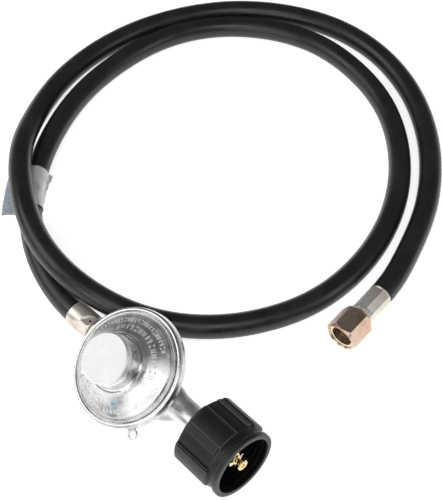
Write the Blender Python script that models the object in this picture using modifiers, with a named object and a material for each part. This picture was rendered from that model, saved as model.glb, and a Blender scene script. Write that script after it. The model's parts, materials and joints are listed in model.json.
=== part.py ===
"""Low-pressure propane regulator with its hose: a tank-side QCC nut and brass nipple, a zinc
regulator with spring, diaphragm and lever valve, and a rubber hose ending in a flare swivel nut.

Dimensions below are millimetres; the scene is built in metres with +Z up. The regulator lies on
a table (z = 0), leaning towards -Y on its hub, its nut and its hose. Its own parts are drawn in
the regulator's frame: x along the gas line towards the tank, z out of the bonnet, origin where
the two axes cross. The swivel fitting's parts are drawn along x too, with x = 0 at its mouth.
"""

import math

import bmesh
import bpy
import numpy as np
from mathutils import Matrix, Vector

MM = 0.001
GAP = 0.3  # clearance between neighbouring solids

# Where the two assemblies lie
AXIS_POINT = (-11.32, 7.9, 15.66)  # crossing of the gas line and the bonnet axis
LEAN_DEG = 28.2  # bonnet axis leans towards -Y
NOSE_UP_DEG = 6.2  # gas line rises towards the nut
FLARE_MOUTH = (47.58, 110.5, 9.6)
FLARE_AZIMUTH_DEG = -84.5

# Regulator
RIM_R, RIM_TOP = 34.7, 20.4
BONNET_FLANGE_R = 32.3
CONE_R, CONE_Z = 29.4, 22.7
TOWER_R, TOWER_Z, TOWER_TOP = 16.4, 29.4, 38.4
CAP_R, CAP_TOP = 14.6, 43.6
HUB_R, HUB_BOTTOM = 13.0, -11.4
CHAMBER_R, CHAMBER_FLOOR = 10.2, -7.4
NECK_R, NECK_END = 7.75, 51.0
OUTLET_END = -42.0
BOSS_R = 10.2
PORT_R = 5.7
VENT_AT_DEG, VENT_OUT, VENT_R = 225.0, 23.0, 2.6
EYELET_AT_DEG, EYELET_OUT = 316.0, 37.2
PIVOT = (-7.0, 4.0)  # lever pivot, x and z
PIN_R = 0.8

# Tank nut
NUT_BACK, NUT_MOUTH = 51.4, 83.7
NUT_MOUTH_R, NUT_RIM_R, NUT_COLLAR_R = 17.4, 20.8, 19.8
LAND_R, SHELF_R, RECESS_R = 21.9, 21.2, 20.3
LAND_COUNT, LAND_END = 5, 76.5
LAND_FROM_DEG, LAND_DEG, SHELF_DEG = 5.0, 33.0, 13.0

# Hose and its fittings
HOSE_R = 7.45
FERRULE_BORE_R = 6.1
REG_FERRULE, REG_FERRULE_R = (-62.2, -43.9), 8.2
REG_CRIMP, REG_CRIMP_SIDES, REG_CRIMP_R = (-54.5, -44.6), 6, 7.2  # R is to the pressed flats
FLARE_FERRULE, FLARE_FERRULE_R = (-41.0, -21.2), 7.5
FLARE_CRIMP, FLARE_CRIMP_SIDES, FLARE_CRIMP_R = (-39.6, -22.4), 8, 7.0
NUT_FLAT_R = 9.525  # half of 3/4 inch across flats
FLARE_NUT_LENGTH = 19.5
HOSE_POINTS = 64
END_STRAIGHT = 4.0  # short first and last runs, so that the hose's ends face the ferrules squarely
LABEL_FROM, LABEL_TO = 92.0, 129.5  # distance along the hose
LABEL_FILM = 0.3
FLAG_REACH = 18.5
FLAG_AT_DEG = 215.0  # where the film leaves the hose: low on its outer side
# Route of the hose on the table, from the regulator's ferrule to the swivel fitting's,
# counted from the floor under the regulator's axis point
HOSE_ROUTE = [
    (-105.0, 6.5, 7.6), (-139.0, 24.0, 8.3), (-167.0, 50.5, 8.3), (-188.0, 82.0, 8.0),
    (-202.8, 117.2, 7.5), (-208.6, 155.0, 7.5), (-205.5, 194.1, 7.5), (-189.4, 230.1, 7.5),
    (-163.0, 256.5, 7.5), (-128.3, 273.1, 7.5), (-90.0, 275.0, 7.5), (-53.0, 265.5, 7.5),
    (-20.5, 245.0, 7.5), (5.5, 216.5, 7.5), (23.4, 182.0, 7.5), (31.5, 145.0, 7.5),
    (29.0, 107.5, 7.5), (14.5, 72.5, 7.5), (-9.5, 42.0, 9.4), (-40.5, 20.0, 15.1),
    (-75.5, 9.0, 22.7), (-113.0, 12.0, 24.3), (-148.5, 27.0, 24.2), (-179.0, 49.0, 21.6),
    (-203.4, 77.4, 13.4), (-221.0, 110.0, 8.3), (-228.1, 148.0, 7.5), (-224.8, 186.7, 7.5),
    (-212.6, 222.1, 7.5), (-192.2, 253.8, 7.5), (-163.6, 279.0, 7.5), (-129.0, 295.5, 7.5),
    (-92.0, 299.5, 7.5), (-54.5, 291.0, 7.5), (-21.0, 272.5, 7.5), (7.5, 246.5, 7.5),
    (29.5, 215.5, 7.8), (45.0, 180.5, 8.7),
]

# name: colour, roughness, metallic
MATERIALS = {
    "cast_zinc": ((0.62, 0.63, 0.64), 0.34, 1.0),
    "cap_zinc": ((0.82, 0.82, 0.80), 0.62, 0.5),
    "black_nylon": ((0.035, 0.035, 0.038), 0.45, 0.0),
    "bushing_plastic": ((0.10, 0.10, 0.10), 0.5, 0.0),
    "brass": ((0.80, 0.58, 0.24), 0.22, 1.0),
    "plated_steel": ((0.72, 0.68, 0.60), 0.25, 1.0),
    "spring_steel": ((0.50, 0.51, 0.53), 0.3, 1.0),
    "stamped_steel": ((0.58, 0.59, 0.60), 0.35, 1.0),
    "nitrile": ((0.03, 0.03, 0.03), 0.7, 0.0),
    "hose_rubber": ((0.018, 0.018, 0.019), 0.42, 0.0),
    "label_film": ((0.66, 0.68, 0.72), 0.4, 0.0),
}


# ---------------------------------------------------------------- scene and materials

def clear_scene():
    for obj in list(bpy.data.objects):
        bpy.data.objects.remove(obj, do_unlink=True)


def new_collection(name):
    group = bpy.data.collections.new(name)
    bpy.context.scene.collection.children.link(group)
    return group


def make_material(name, colour, roughness, metallic):
    mat = bpy.data.materials.new(name)
    mat.use_nodes = True
    shader = mat.node_tree.nodes["Principled BSDF"]
    shader.inputs["Base Color"].default_value = (*colour, 1.0)
    shader.inputs["Roughness"].default_value = roughness
    shader.inputs["Metallic"].default_value = metallic
    mat.diffuse_color = (*colour, 1.0)
    return mat


def new_empty(name, at, rotation):
    empty = bpy.data.objects.new(name, None)
    empty.location = [v * MM for v in at]
    empty.rotation_euler = rotation
    parts.objects.link(empty)
    return empty


def add_object(name, data, material, parent, helper=False):
    obj = bpy.data.objects.new(name, data)
    (cutters if helper else parts).objects.link(obj)
    obj.parent = parent
    if helper:
        obj.hide_render = True
        obj.display_type = "WIRE"
    else:
        data.materials.append(materials[material])
    return obj


def smooth(obj, angle_deg=35):
    obj.data.shade_smooth()
    obj.data.set_sharp_from_angle(angle=math.radians(angle_deg))


# ---------------------------------------------------------------- shape helpers (millimetres)

def along_x(obj):
    """Turns an object drawn about its own Z so that it lies along the gas line."""
    obj.rotation_euler = (0.0, math.radians(90.0), 0.0)
    return obj


def turned(name, profile, material, parent, steps=40, helper=False):
    """A solid turned about Z. The profile is (radius, z) points, down its outer side first;
    it closes on itself unless both its ends lie on the axis."""
    mesh = bpy.data.meshes.new(name)
    points = [(r * MM, 0.0, z * MM) for r, z in profile]
    edges = [(i, i + 1) for i in range(len(points) - 1)]
    on_axis = profile[0][0] == 0.0 and profile[-1][0] == 0.0
    if not on_axis:
        edges.append((len(points) - 1, 0))
    mesh.from_pydata(points, edges, [])
    obj = add_object(name, mesh, material, parent, helper)
    screw = obj.modifiers.new("Turn", "SCREW")
    screw.steps = steps
    screw.render_steps = steps
    screw.use_merge_vertices = True
    screw.merge_threshold = 0.000001
    screw.use_smooth_shade = True
    return obj


def washer(name, outer, inner, low, high, material, parent, steps=24):
    profile = [(outer, high), (outer, low), (inner, low), (inner, high)]
    return turned(name, profile, material, parent, steps)


def rod(name, radius, low, high, material, parent, steps=24, helper=False):
    """A plain cylinder along Z from low to high."""
    mesh = bpy.data.meshes.new(name)
    bm = bmesh.new()
    place = Matrix.Translation((0.0, 0.0, (low + high) / 2 * MM))
    bmesh.ops.create_cone(
        bm, cap_ends=True, segments=steps, radius1=radius * MM, radius2=radius * MM,
        depth=(high - low) * MM, matrix=place,
    )
    bm.to_mesh(mesh)
    bm.free()
    return add_object(name, mesh, material, parent, helper)


def block(name, size, centre, material, parent, helper=False):
    mesh = bpy.data.meshes.new(name)
    bm = bmesh.new()
    scale = Matrix.Diagonal((*(v * MM for v in size), 1.0))
    place = Matrix.Translation([v * MM for v in centre])
    bmesh.ops.create_cube(bm, size=1.0, matrix=place @ scale)
    bm.to_mesh(mesh)
    bm.free()
    return add_object(name, mesh, material, parent, helper)


def plate(name, outline, thickness, material, parent, helper=False):
    """A flat outline, extruded to both sides of its own XY plane, as a mesh."""
    curve = bpy.data.curves.new(name, "CURVE")
    curve.dimensions = "2D"
    curve.fill_mode = "BOTH"
    curve.extrude = thickness / 2 * MM
    spline = curve.splines.new("POLY")
    spline.points.add(len(outline) - 1)
    for point, (x, y) in zip(spline.points, outline):
        point.co = (x * MM, y * MM, 0.0, 1.0)
    spline.use_cyclic_u = True
    flat = add_object(name + "_outline", curve, None, parent, helper=True)
    return meshed(name, flat, material, parent, helper)


def meshed(name, curve_object, material, parent, helper=False):
    """Replaces a curve object by a welded mesh of the same shape."""
    bpy.context.view_layer.update()
    graph = bpy.context.evaluated_depsgraph_get()
    mesh = bpy.data.meshes.new_from_object(curve_object.evaluated_get(graph))
    bm = bmesh.new()
    bm.from_mesh(mesh)
    bmesh.ops.remove_doubles(bm, verts=bm.verts, dist=0.000001)
    bmesh.ops.recalc_face_normals(bm, faces=bm.faces)
    bm.to_mesh(mesh)
    bm.free()
    mesh.materials.clear()
    obj = add_object(name, mesh, material, parent, helper)
    obj.matrix_local = curve_object.matrix_local
    bpy.data.objects.remove(curve_object)
    return obj


def boolean(obj, operation, *others):
    for other in others:
        step = obj.modifiers.new(operation.title() + " " + other.name, "BOOLEAN")
        step.operation = operation
        step.object = other
        step.solver = "EXACT"


def wire(name, points, radius, material, parent, resolution=2):
    """A round wire or tube through the points, which may be any iterable of x, y, z."""
    curve = bpy.data.curves.new(name, "CURVE")
    curve.dimensions = "3D"
    curve.bevel_depth = radius * MM
    curve.bevel_resolution = resolution
    curve.use_fill_caps = True
    spline = curve.splines.new("POLY")
    spline.points.add(len(points) - 1)
    for point, place in zip(spline.points, points):
        point.co = (*(v * MM for v in place), 1.0)
    return add_object(name, curve, material, parent)


def coil_points(radius, low, high, turns, per_turn=14):
    """A compression spring's centreline: closed end turns, open turns between."""
    count = int(turns * per_turn)
    for i in range(count + 1):
        share = i / count
        eased = share - 0.09 * math.sin(2 * math.pi * share)
        angle = 2 * math.pi * turns * share
        yield (radius * math.cos(angle), radius * math.sin(angle), low + (high - low) * eased)


def arc(radius, from_deg, to_deg, count, centre=(0.0, 0.0)):
    for i in range(count + 1):
        angle = math.radians(from_deg + (to_deg - from_deg) * i / count)
        yield (centre[0] + radius * math.cos(angle), centre[1] + radius * math.sin(angle))


# ---------------------------------------------------------------- regulator

def regulator_body():
    """The die-cast bowl with its rolled rim, hub, inlet neck, outlet boss and seal eyelet."""
    bowl = turned("regulator_body", [
        (31.9, RIM_TOP), (33.2, RIM_TOP), (33.9, 19.9), (34.4, 18.6), (RIM_R, 16.6), (RIM_R, 15.0),
        (33.4, 13.3), (29.5, 10.8), (24.5, 8.4), (19.5, 6.5), (16.0, 5.0), (13.8, 2.4),
        (HUB_R, -3.0), (12.5, -8.8), (11.4, HUB_BOTTOM), (0.0, HUB_BOTTOM), (0.0, CHAMBER_FLOOR),
        (CHAMBER_R, CHAMBER_FLOOR), (CHAMBER_R, 6.6), (12.6, 9.2), (19.0, 10.6), (26.0, 13.0),
        (29.6, 15.2), (29.6, 16.6), (32.6, 16.6), (32.6, 19.5), (31.9, 19.5),
    ], "cast_zinc", regulator, steps=40)
    inlet = along_x(turned("inlet_boss", [
        (0.0, NECK_END), (NECK_R, NECK_END), (NECK_R, 33.0), (BOSS_R, 25.0), (BOSS_R, CHAMBER_R),
        (0.0, CHAMBER_R),
    ], None, regulator, steps=24, helper=True))
    outlet = along_x(turned("outlet_boss", [
        (0.0, -CHAMBER_R), (BOSS_R, -CHAMBER_R), (BOSS_R, -27.0), (7.9, -34.0), (7.9, OUTLET_END),
        (0.0, OUTLET_END),
    ], None, regulator, steps=24, helper=True))
    eyelet = turned("eyelet_lug", [
        (3.3, 16.0), (3.3, 14.5), (1.4, 14.5), (1.4, 16.0),
    ], None, regulator, steps=16, helper=True)
    turn = math.radians(EYELET_AT_DEG)
    eyelet.location = (EYELET_OUT * math.cos(turn) * MM, EYELET_OUT * math.sin(turn) * MM, 0.0)
    cradle = [
        block("cradle_" + side, (8.0, 1.4, 8.8), (0.0, y, -3.2), None, regulator, helper=True)
        for side, y in (("left", -5.7), ("right", 5.7))
    ]
    boolean(bowl, "UNION", inlet, outlet, eyelet, *cradle)
    bores = [
        along_x(rod("nipple_port", PORT_R, 37.5, 60.0, None, regulator, 24, helper=True)),
        along_x(rod("nozzle_port", 3.3, 5.0, 40.0, None, regulator, 16, helper=True)),
        along_x(rod("outlet_passage", 4.2, -40.0, -6.0, None, regulator, 16, helper=True)),
        along_x(rod("stem_port", PORT_R, -50.0, -30.0, None, regulator, 24, helper=True)),
    ]
    pin_hole = rod("pin_hole", PIN_R + GAP, -8.1, 8.1, None, regulator, 16, helper=True)
    pin_hole.rotation_euler = (math.radians(90.0), 0.0, 0.0)
    pin_hole.location = (PIVOT[0] * MM, 0.0, PIVOT[1] * MM)
    boolean(bowl, "DIFFERENCE", *bores, pin_hole)


def bonnet():
    """The cast cover: a flange under the rolled rim, a shallow cone and the spring tower."""
    cover = turned("bonnet", [
        (12.3, TOWER_TOP), (14.5, TOWER_TOP), (14.7, 37.8), (15.2, 34.0), (15.8, 31.2),
        (TOWER_R, 30.1), (17.0, TOWER_Z), (CONE_R - 0.5, CONE_Z + 0.3), (CONE_R, CONE_Z - 0.4),
        (29.7, 21.0), (30.2, 20.8), (30.6, 21.1), (31.2, 21.0), (31.5, 20.4), (31.5, 19.2),
        (BONNET_FLANGE_R, 19.2), (BONNET_FLANGE_R, 18.2), (29.4, 18.2), (28.2, 20.6), (16.0, 27.0),
        (12.3, 28.4),
    ], "cast_zinc", regulator, steps=40)
    vent = rod("vent_hole", VENT_R, 18.0, 32.0, None, regulator, 20, helper=True)
    turn = math.radians(VENT_AT_DEG)
    vent.location = (VENT_OUT * math.cos(turn) * MM, VENT_OUT * math.sin(turn) * MM, 0.0)
    boolean(cover, "DIFFERENCE", vent)
    screen = rod("vent_screen", VENT_R - GAP, 24.6, 25.2, "stamped_steel", regulator, 20)
    screen.location = vent.location
    turned("bonnet_cap", [
        (0.0, CAP_TOP), (13.1, CAP_TOP), (14.1, 43.2), (CAP_R, 42.3), (CAP_R, TOWER_TOP + GAP),
        (12.0, TOWER_TOP + GAP), (12.0, 36.2), (10.0, 36.2), (10.0, 40.8), (0.0, 40.8),
    ], "cap_zinc", regulator, steps=28)


def adjustment():
    """The adjusting screw in the tower and the spring that it loads."""
    screw = turned("adjusting_screw", [
        (0.0, 35.2), (11.2, 35.2), (11.9, 34.6), (11.9, 31.5), (6.8, 31.5), (6.8, 30.5), (0.0, 30.5),
    ], "bushing_plastic", regulator, steps=24)
    hexagon = rod("key_recess", 4.0, 32.6, 36.0, None, regulator, 6, helper=True)
    boolean(screw, "DIFFERENCE", hexagon)
    wire("main_spring", list(coil_points(9.0, 20.4, 30.3, 5.0, 11)), 0.75, "spring_steel", regulator, 1)


def diaphragm_stack():
    """The rubber diaphragm between its plates, and the post that carries the lever."""
    turned("diaphragm", [
        (2.5, 17.9), (20.6, 17.9), (22.0, 19.0), (24.0, 19.6), (26.0, 19.0), (27.4, 17.9),
        (BONNET_FLANGE_R, 17.9), (BONNET_FLANGE_R, 16.9), (26.9, 16.9), (25.4, 18.0), (24.0, 18.5),
        (22.6, 18.0), (21.1, 16.9), (2.5, 16.9),
    ], "nitrile", regulator, steps=28)
    turned("diaphragm_plate", [
        (2.5, 19.2), (18.6, 19.2), (19.4, 20.0), (20.0, 19.6), (19.2, 18.2), (2.5, 18.2),
    ], "stamped_steel", regulator, steps=28)
    washer("diaphragm_washer", 12.0, 2.5, 15.6, 16.6, "stamped_steel", regulator)
    turned("diaphragm_post", [
        (0.0, 20.4), (3.4, 20.4), (3.8, 20.0), (3.8, 19.5), (2.1, 19.5), (2.1, 15.3), (3.6, 15.3),
        (3.6, 14.3), (2.4, 13.6), (2.4, 10.8), (1.2, 10.8), (1.2, 7.6), (2.4, 7.6), (2.4, 6.6),
        (0.0, 6.6),
    ], "brass", regulator, steps=16)


def lever_valve():
    """The lever on its pin, and the rubber-faced slide that it pushes against the nozzle."""
    px, pz = PIVOT
    lever = plate("lever", [
        (px - 2.2, pz - 0.4), (px - 0.6, pz - 4.8), (px + 0.6, pz - 4.8), (px + 0.8, pz - 2.0),
        (px + 1.9, pz - 0.9), (px + 2.4, pz + 1.2), (px + 4.4, pz + 4.7), (3.2, pz + 4.7),
        (3.2, pz + 5.7), (px + 3.8, pz + 5.7), (px + 0.4, pz + 2.3), (px - 1.6, pz + 1.4),
    ], 6.0, "stamped_steel", regulator)
    lever.rotation_euler = (math.radians(90.0), 0.0, 0.0)
    fork = block("lever_fork", (8.0, 3.4, 4.0), (2.2, 0.0, pz + 5.2), None, regulator, helper=True)
    eye = rod("lever_eye", PIN_R + GAP, -5.0, 5.0, None, regulator, 16, helper=True)
    eye.rotation_euler = (math.radians(90.0), 0.0, 0.0)
    eye.location = (px * MM, 0.0, pz * MM)
    boolean(lever, "DIFFERENCE", fork, eye)
    pin = rod("lever_pin", PIN_R, -7.8, 7.8, "spring_steel", regulator, 16)
    pin.rotation_euler = (math.radians(90.0), 0.0, 0.0)
    pin.location = (px * MM, 0.0, pz * MM)
    along_x(turned("valve_slide", [
        (0.0, 3.3), (3.5, 3.3), (3.5, 4.5), (4.4, 4.5), (4.4, 0.8), (1.8, 0.8), (1.8, -6.0),
        (0.0, -6.0),
    ], "brass", regulator, steps=16))
    along_x(rod("valve_seat", 3.2, 3.6, 4.9, "nitrile", regulator))
    along_x(turned("inlet_nozzle", [
        (3.0, 20.0), (3.0, 8.0), (1.9, 6.2), (1.0, 6.2), (1.0, 16.0), (2.0, 20.0),
    ], "brass", regulator, steps=16))


# ---------------------------------------------------------------- tank side

def inlet_nipple():
    """The brass nipple in the neck, its O-ring, and the excess-flow limiter in its nose."""
    along_x(turned("inlet_nipple", [
        (3.7, 76.0), (4.3, 75.6), (4.6, 74.6), (4.6, 71.2), (3.9, 71.2), (3.9, 69.2), (5.6, 69.2),
        (6.0, 68.6), (6.0, 65.2), (9.2, 63.9), (9.2, 60.8), (6.2, 60.5), (6.2, 51.5), (5.4, 50.8),
        (5.4, 38.2), (2.0, 38.2), (2.0, 64.8), (3.7, 65.2),
    ], "brass", regulator, steps=24))
    along_x(turned("nipple_o_ring", [
        (5.0, 70.9), (5.3, 70.6), (5.3, 69.8), (5.0, 69.5), (4.2, 69.5), (4.2, 70.9),
    ], "nitrile", regulator, steps=20))
    cage = along_x(turned("flow_limiter_cage", [
        (1.7, 78.6), (2.6, 78.6), (2.9, 76.3), (3.4, 76.3), (3.4, 74.4), (1.7, 74.4),
    ], "brass", regulator, steps=16))
    lobes = []
    for i in range(4):
        lobe = rod("cage_lobe_%d" % i, 1.25, 76.4, 78.2, None, regulator, 10, helper=True)
        angle = math.radians(35 + 90 * i)
        mesh = lobe.data
        mesh.transform(Matrix.Translation((3.2 * math.cos(angle) * MM,
                                           3.2 * math.sin(angle) * MM, 0.0)))
        lobes.append(along_x(lobe))
    boolean(cage, "UNION", *lobes)
    along_x(turned("flow_limiter_poppet", [
        (1.2, 83.2), (3.2, 83.2), (3.4, 82.9), (3.4, 81.9), (2.6, 81.3), (1.3, 80.9), (1.3, 73.8),
        (3.2, 73.5), (3.2, 72.5), (1.2, 72.5), (1.2, 66.8), (0.0, 66.8), (0.0, 81.4), (1.2, 81.6),
    ], "brass", regulator, steps=16))
    wire("flow_limiter_spring", [(z, x, y) for x, y, z in coil_points(2.6, 65.9, 71.8, 4.0, 9)],
         0.32, "spring_steel", regulator, 1)


def nut_outline():
    """Section of the nut's grip: five lands, each with a lower shelf along one side."""
    pitch = 360.0 / LAND_COUNT
    for i in range(LAND_COUNT):
        # Angles are counted from the bonnet side towards +y; the section is drawn from below.
        start = 180.0 - (LAND_FROM_DEG + LAND_DEG) + i * pitch
        yield from arc(LAND_R, start, start + LAND_DEG, 5)
        yield from arc(SHELF_R, start + LAND_DEG, start + LAND_DEG + SHELF_DEG, 2)
        yield from arc(RECESS_R, start + LAND_DEG + SHELF_DEG, start + pitch, 4)


def tank_nut():
    """The black coupling nut and the heat-sensitive bushing that holds it on the nipple."""
    nut = along_x(turned("qcc_nut", [
        (NUT_MOUTH_R, NUT_MOUTH), (20.3, NUT_MOUTH), (NUT_RIM_R, 83.2), (NUT_RIM_R, 80.9),
        (NUT_COLLAR_R, 80.2), (NUT_COLLAR_R, NUT_BACK + 0.6), (19.2, NUT_BACK), (8.4, NUT_BACK),
        (6.9, 52.4), (6.9, 55.6), (15.9, 55.6), (15.9, 58.0), (NUT_MOUTH_R, 60.0),
    ], "black_nylon", regulator, steps=45))
    depth = LAND_END - NUT_BACK - 0.2
    grip = plate("nut_grip", list(nut_outline()), depth, None, regulator, helper=True)
    grip.data.transform(Matrix.Translation((0.0, 0.0, (LAND_END - depth / 2) * MM)))
    along_x(grip)
    core = along_x(rod("nut_core", 19.0, 40.0, 90.0, None, regulator, 48, helper=True))
    boolean(grip, "DIFFERENCE", core)
    boolean(nut, "UNION", grip)
    along_x(turned("thermal_bushing", [
        (6.6, 60.3), (11.6, 60.3), (12.4, 59.6), (12.4, 56.0), (6.6, 56.0),
    ], "bushing_plastic", regulator, steps=24))


# ---------------------------------------------------------------- hose and fittings

def ferrule(name, span, radius, crimp, sides, flat_r, parent):
    """A crimped sleeve that closes on the stem's shoulder, pressed to flats between plain lips."""
    low, high = span
    sleeve = along_x(turned(name, [
        (4.6, high), (radius - 0.3, high), (radius, high - 0.4), (radius, low + 0.4),
        (radius - 0.3, low), (FERRULE_BORE_R, low), (FERRULE_BORE_R, high - 1.0), (4.6, high - 1.0),
    ], "plated_steel", parent, steps=24))
    jaws = along_x(rod(name + "_jaws", radius + 3.0, *crimp, None, parent, helper=True))
    corner = flat_r / math.cos(math.pi / sides)
    flats = along_x(rod(name + "_flats", corner, crimp[0] - 1.0, crimp[1] + 1.0, None, parent,
                        sides, helper=True))
    boolean(jaws, "DIFFERENCE", flats)
    boolean(sleeve, "DIFFERENCE", jaws)


def barbs(first, last, step):
    """Barbed tail as (radius, x) from its shoulder end to its tip, tip towards lower x."""
    x = first
    while x - step > last:
        yield from ((3.9, x), (3.4, x - step))
        x -= step
    yield (3.2, last)


def regulator_fitting():
    """The barbed stem screwed into the outlet boss, and its ferrule."""
    tail = list(barbs(-44.2, -60.5, 3.4))
    along_x(turned("hose_stem_regulator_end", [
        (2.3, -30.6), (5.0, -30.6), (5.4, -31.0), (5.4, -42.4), (6.6, -42.4), (6.6, -43.4),
        (4.2, -43.6), *tail, (2.3, -60.5),
    ], "brass", regulator, steps=16))
    ferrule("ferrule_regulator_end", REG_FERRULE, REG_FERRULE_R, REG_CRIMP, REG_CRIMP_SIDES,
            REG_CRIMP_R, regulator)


def flare_fitting():
    """The barbed swivel stem, its ferrule and the hexagon flare nut that turns on it."""
    tail = list(barbs(-21.6, -39.0, 3.4))
    along_x(turned("flare_stem", [
        (2.3, -7.2), (3.2, -7.2), (6.5, -10.5), (6.5, -13.2), (4.5, -14.0), (4.5, -19.8),
        (6.6, -19.9), (6.6, -20.9), (4.2, -21.0), *tail, (2.3, -39.0),
    ], "plated_steel", swivel, steps=16))
    ferrule("ferrule_flare_end", FLARE_FERRULE, FLARE_FERRULE_R, FLARE_CRIMP, FLARE_CRIMP_SIDES,
            FLARE_CRIMP_R, swivel)
    corner = NUT_FLAT_R / math.cos(math.radians(30.0))
    nut = along_x(turned("flare_nut", [
        (7.4, -0.2), (8.2, 0.0), (9.6, 0.0), (corner + 0.2, -1.4), (corner + 0.2, -17.1),
        (8.9, -FLARE_NUT_LENGTH), (4.9, -FLARE_NUT_LENGTH), (4.9, -14.5), (7.1, -13.6),
        (7.1, -11.6),
    ], "plated_steel", swivel, steps=36))
    hexagon = along_x(rod("flare_nut_flats", corner, -21.0, 1.0, None, swivel, 6, helper=True))
    boolean(nut, "INTERSECT", hexagon)


def smooth_route(knots, start_direction, end_direction, count):
    """Points evenly spaced on the cubic spline through the knots with the given end directions."""
    knots = np.array(knots)
    s = np.concatenate([[0.0], np.cumsum(np.linalg.norm(np.diff(knots, axis=0), axis=1))])
    h = np.diff(s)
    n = len(knots)
    system = np.zeros((n, n))
    rhs = np.zeros((n, 3))
    system[0, 0] = system[-1, -1] = 1.0
    rhs[0], rhs[-1] = start_direction, end_direction
    for i in range(1, n - 1):
        system[i, i - 1 : i + 2] = h[i], 2 * (h[i - 1] + h[i]), h[i - 1]
        rise = (knots[i] - knots[i - 1]) / h[i - 1] * h[i] + (knots[i + 1] - knots[i]) / h[i] * h[i - 1]
        rhs[i] = 3 * rise
    slope = np.linalg.solve(system, rhs)

    def at(distance):
        i = min(int(np.searchsorted(s, distance, "right")) - 1, n - 2)
        u = (distance - s[i]) / h[i]
        return (
            knots[i] * (1 + 2 * u) * (1 - u) ** 2
            + slope[i] * h[i] * u * (1 - u) ** 2
            + knots[i + 1] * u * u * (3 - 2 * u)
            + slope[i + 1] * h[i] * u * u * (u - 1)
        )

    distances = np.linspace(0.0, s[-1], count)
    distances = np.concatenate([[0.0, END_STRAIGHT], distances[1:-1], [s[-1] - END_STRAIGHT, s[-1]]])
    return [at(d) for d in distances]


def hose_and_label():
    """The rubber hose lying in one and two thirds turns, and the film label wrapped round it."""
    bpy.context.view_layer.update()
    into_hose = (regulator.matrix_world.to_3x3() @ Vector((-1.0, 0.0, 0.0))).normalized()
    out_of_hose = (swivel.matrix_world.to_3x3() @ Vector((1.0, 0.0, 0.0))).normalized()
    start = regulator.matrix_world @ Vector(((REG_FERRULE[0] - GAP) * MM, 0.0, 0.0)) / MM
    end = swivel.matrix_world @ Vector(((FLARE_FERRULE[0] - GAP) * MM, 0.0, 0.0)) / MM
    under = Vector((AXIS_POINT[0], AXIS_POINT[1], 0.0))
    knots = [start] + [under + Vector(point) for point in HOSE_ROUTE] + [end]
    points = smooth_route(knots, into_hose, out_of_hose, HOSE_POINTS)
    points = [Vector((x, y, max(z, HOSE_R + 0.1))) for x, y, z in points]
    wire("hose", points, HOSE_R, "hose_rubber", None, 3)
    hose_label(stretch(points, LABEL_FROM, LABEL_TO))


def stretch(points, start, end):
    """The part of a polyline between two distances along it."""
    travelled = 0.0
    kept = []
    for a, b in zip(points, points[1:]):
        step = (b - a).length
        if travelled < start <= travelled + step:
            kept.append(a.lerp(b, (start - travelled) / step))
        if kept and travelled + step < end:
            kept.append(b)
        if kept and travelled + step >= end:
            kept.append(a.lerp(b, (end - travelled) / step))
            return kept
        travelled += step
    return kept


def hose_label(path):
    """A strip of film round the hose, its end standing off as a flag near the table."""
    radius = HOSE_R + GAP
    tip = radius * math.sin(math.radians(FLAG_AT_DEG)) - 0.2
    section = [(-FLAG_REACH, tip), *arc(radius, FLAG_AT_DEG - 8.0, FLAG_AT_DEG - 352.0, 22)]
    mesh = bpy.data.meshes.new("hose_label")
    bm = bmesh.new()
    rows = []
    for i, point in enumerate(path):
        ahead = (path[min(i + 1, len(path) - 1)] - path[max(i - 1, 0)]).normalized()
        right = ahead.cross(Vector((0.0, 0.0, 1.0))).normalized()
        up = right.cross(ahead)
        rows.append([bm.verts.new((point + right * x + up * y) * MM) for x, y in section])
    for row, following in zip(rows, rows[1:]):
        for j in range(len(section) - 1):
            bm.faces.new((row[j], row[j + 1], following[j + 1], following[j]))
    bm.to_mesh(mesh)
    bm.free()
    film = add_object("hose_label", mesh, "label_film", None)
    solidify = film.modifiers.new("Film", "SOLIDIFY")
    solidify.thickness = LABEL_FILM * MM
    solidify.offset = 1.0
    solidify.use_even_offset = True


clear_scene()
parts = new_collection("propane_regulator_hose")
cutters = new_collection("cutters")
materials = {name: make_material(name, *look) for name, look in MATERIALS.items()}
regulator = new_empty("regulator_pose", AXIS_POINT,
                      (math.radians(LEAN_DEG), math.radians(-NOSE_UP_DEG), 0.0))
swivel = new_empty("swivel_pose", FLARE_MOUTH, (0.0, 0.0, math.radians(FLARE_AZIMUTH_DEG)))
regulator_body()
bonnet()
adjustment()
diaphragm_stack()
lever_valve()
inlet_nipple()
tank_nut()
regulator_fitting()
flare_fitting()
hose_and_label()
for part in parts.objects:
    if part.type == "MESH":
        smooth(part)
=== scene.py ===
"""Looks for the propane regulator hose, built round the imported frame: cast zinc regulator,
moulded tank nut, brass nipple, rubber hose with crimped ferrules and a plated swivel nut.

Shapes are drawn in millimetres in three local frames: the regulator's (x along the gas line
towards the tank, z out of the bonnet), the swivel fitting's (x out of its mouth) and the table's.
"""

import json
import math

import bmesh
import bpy
import numpy as np
from mathutils import Matrix, Vector


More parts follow.
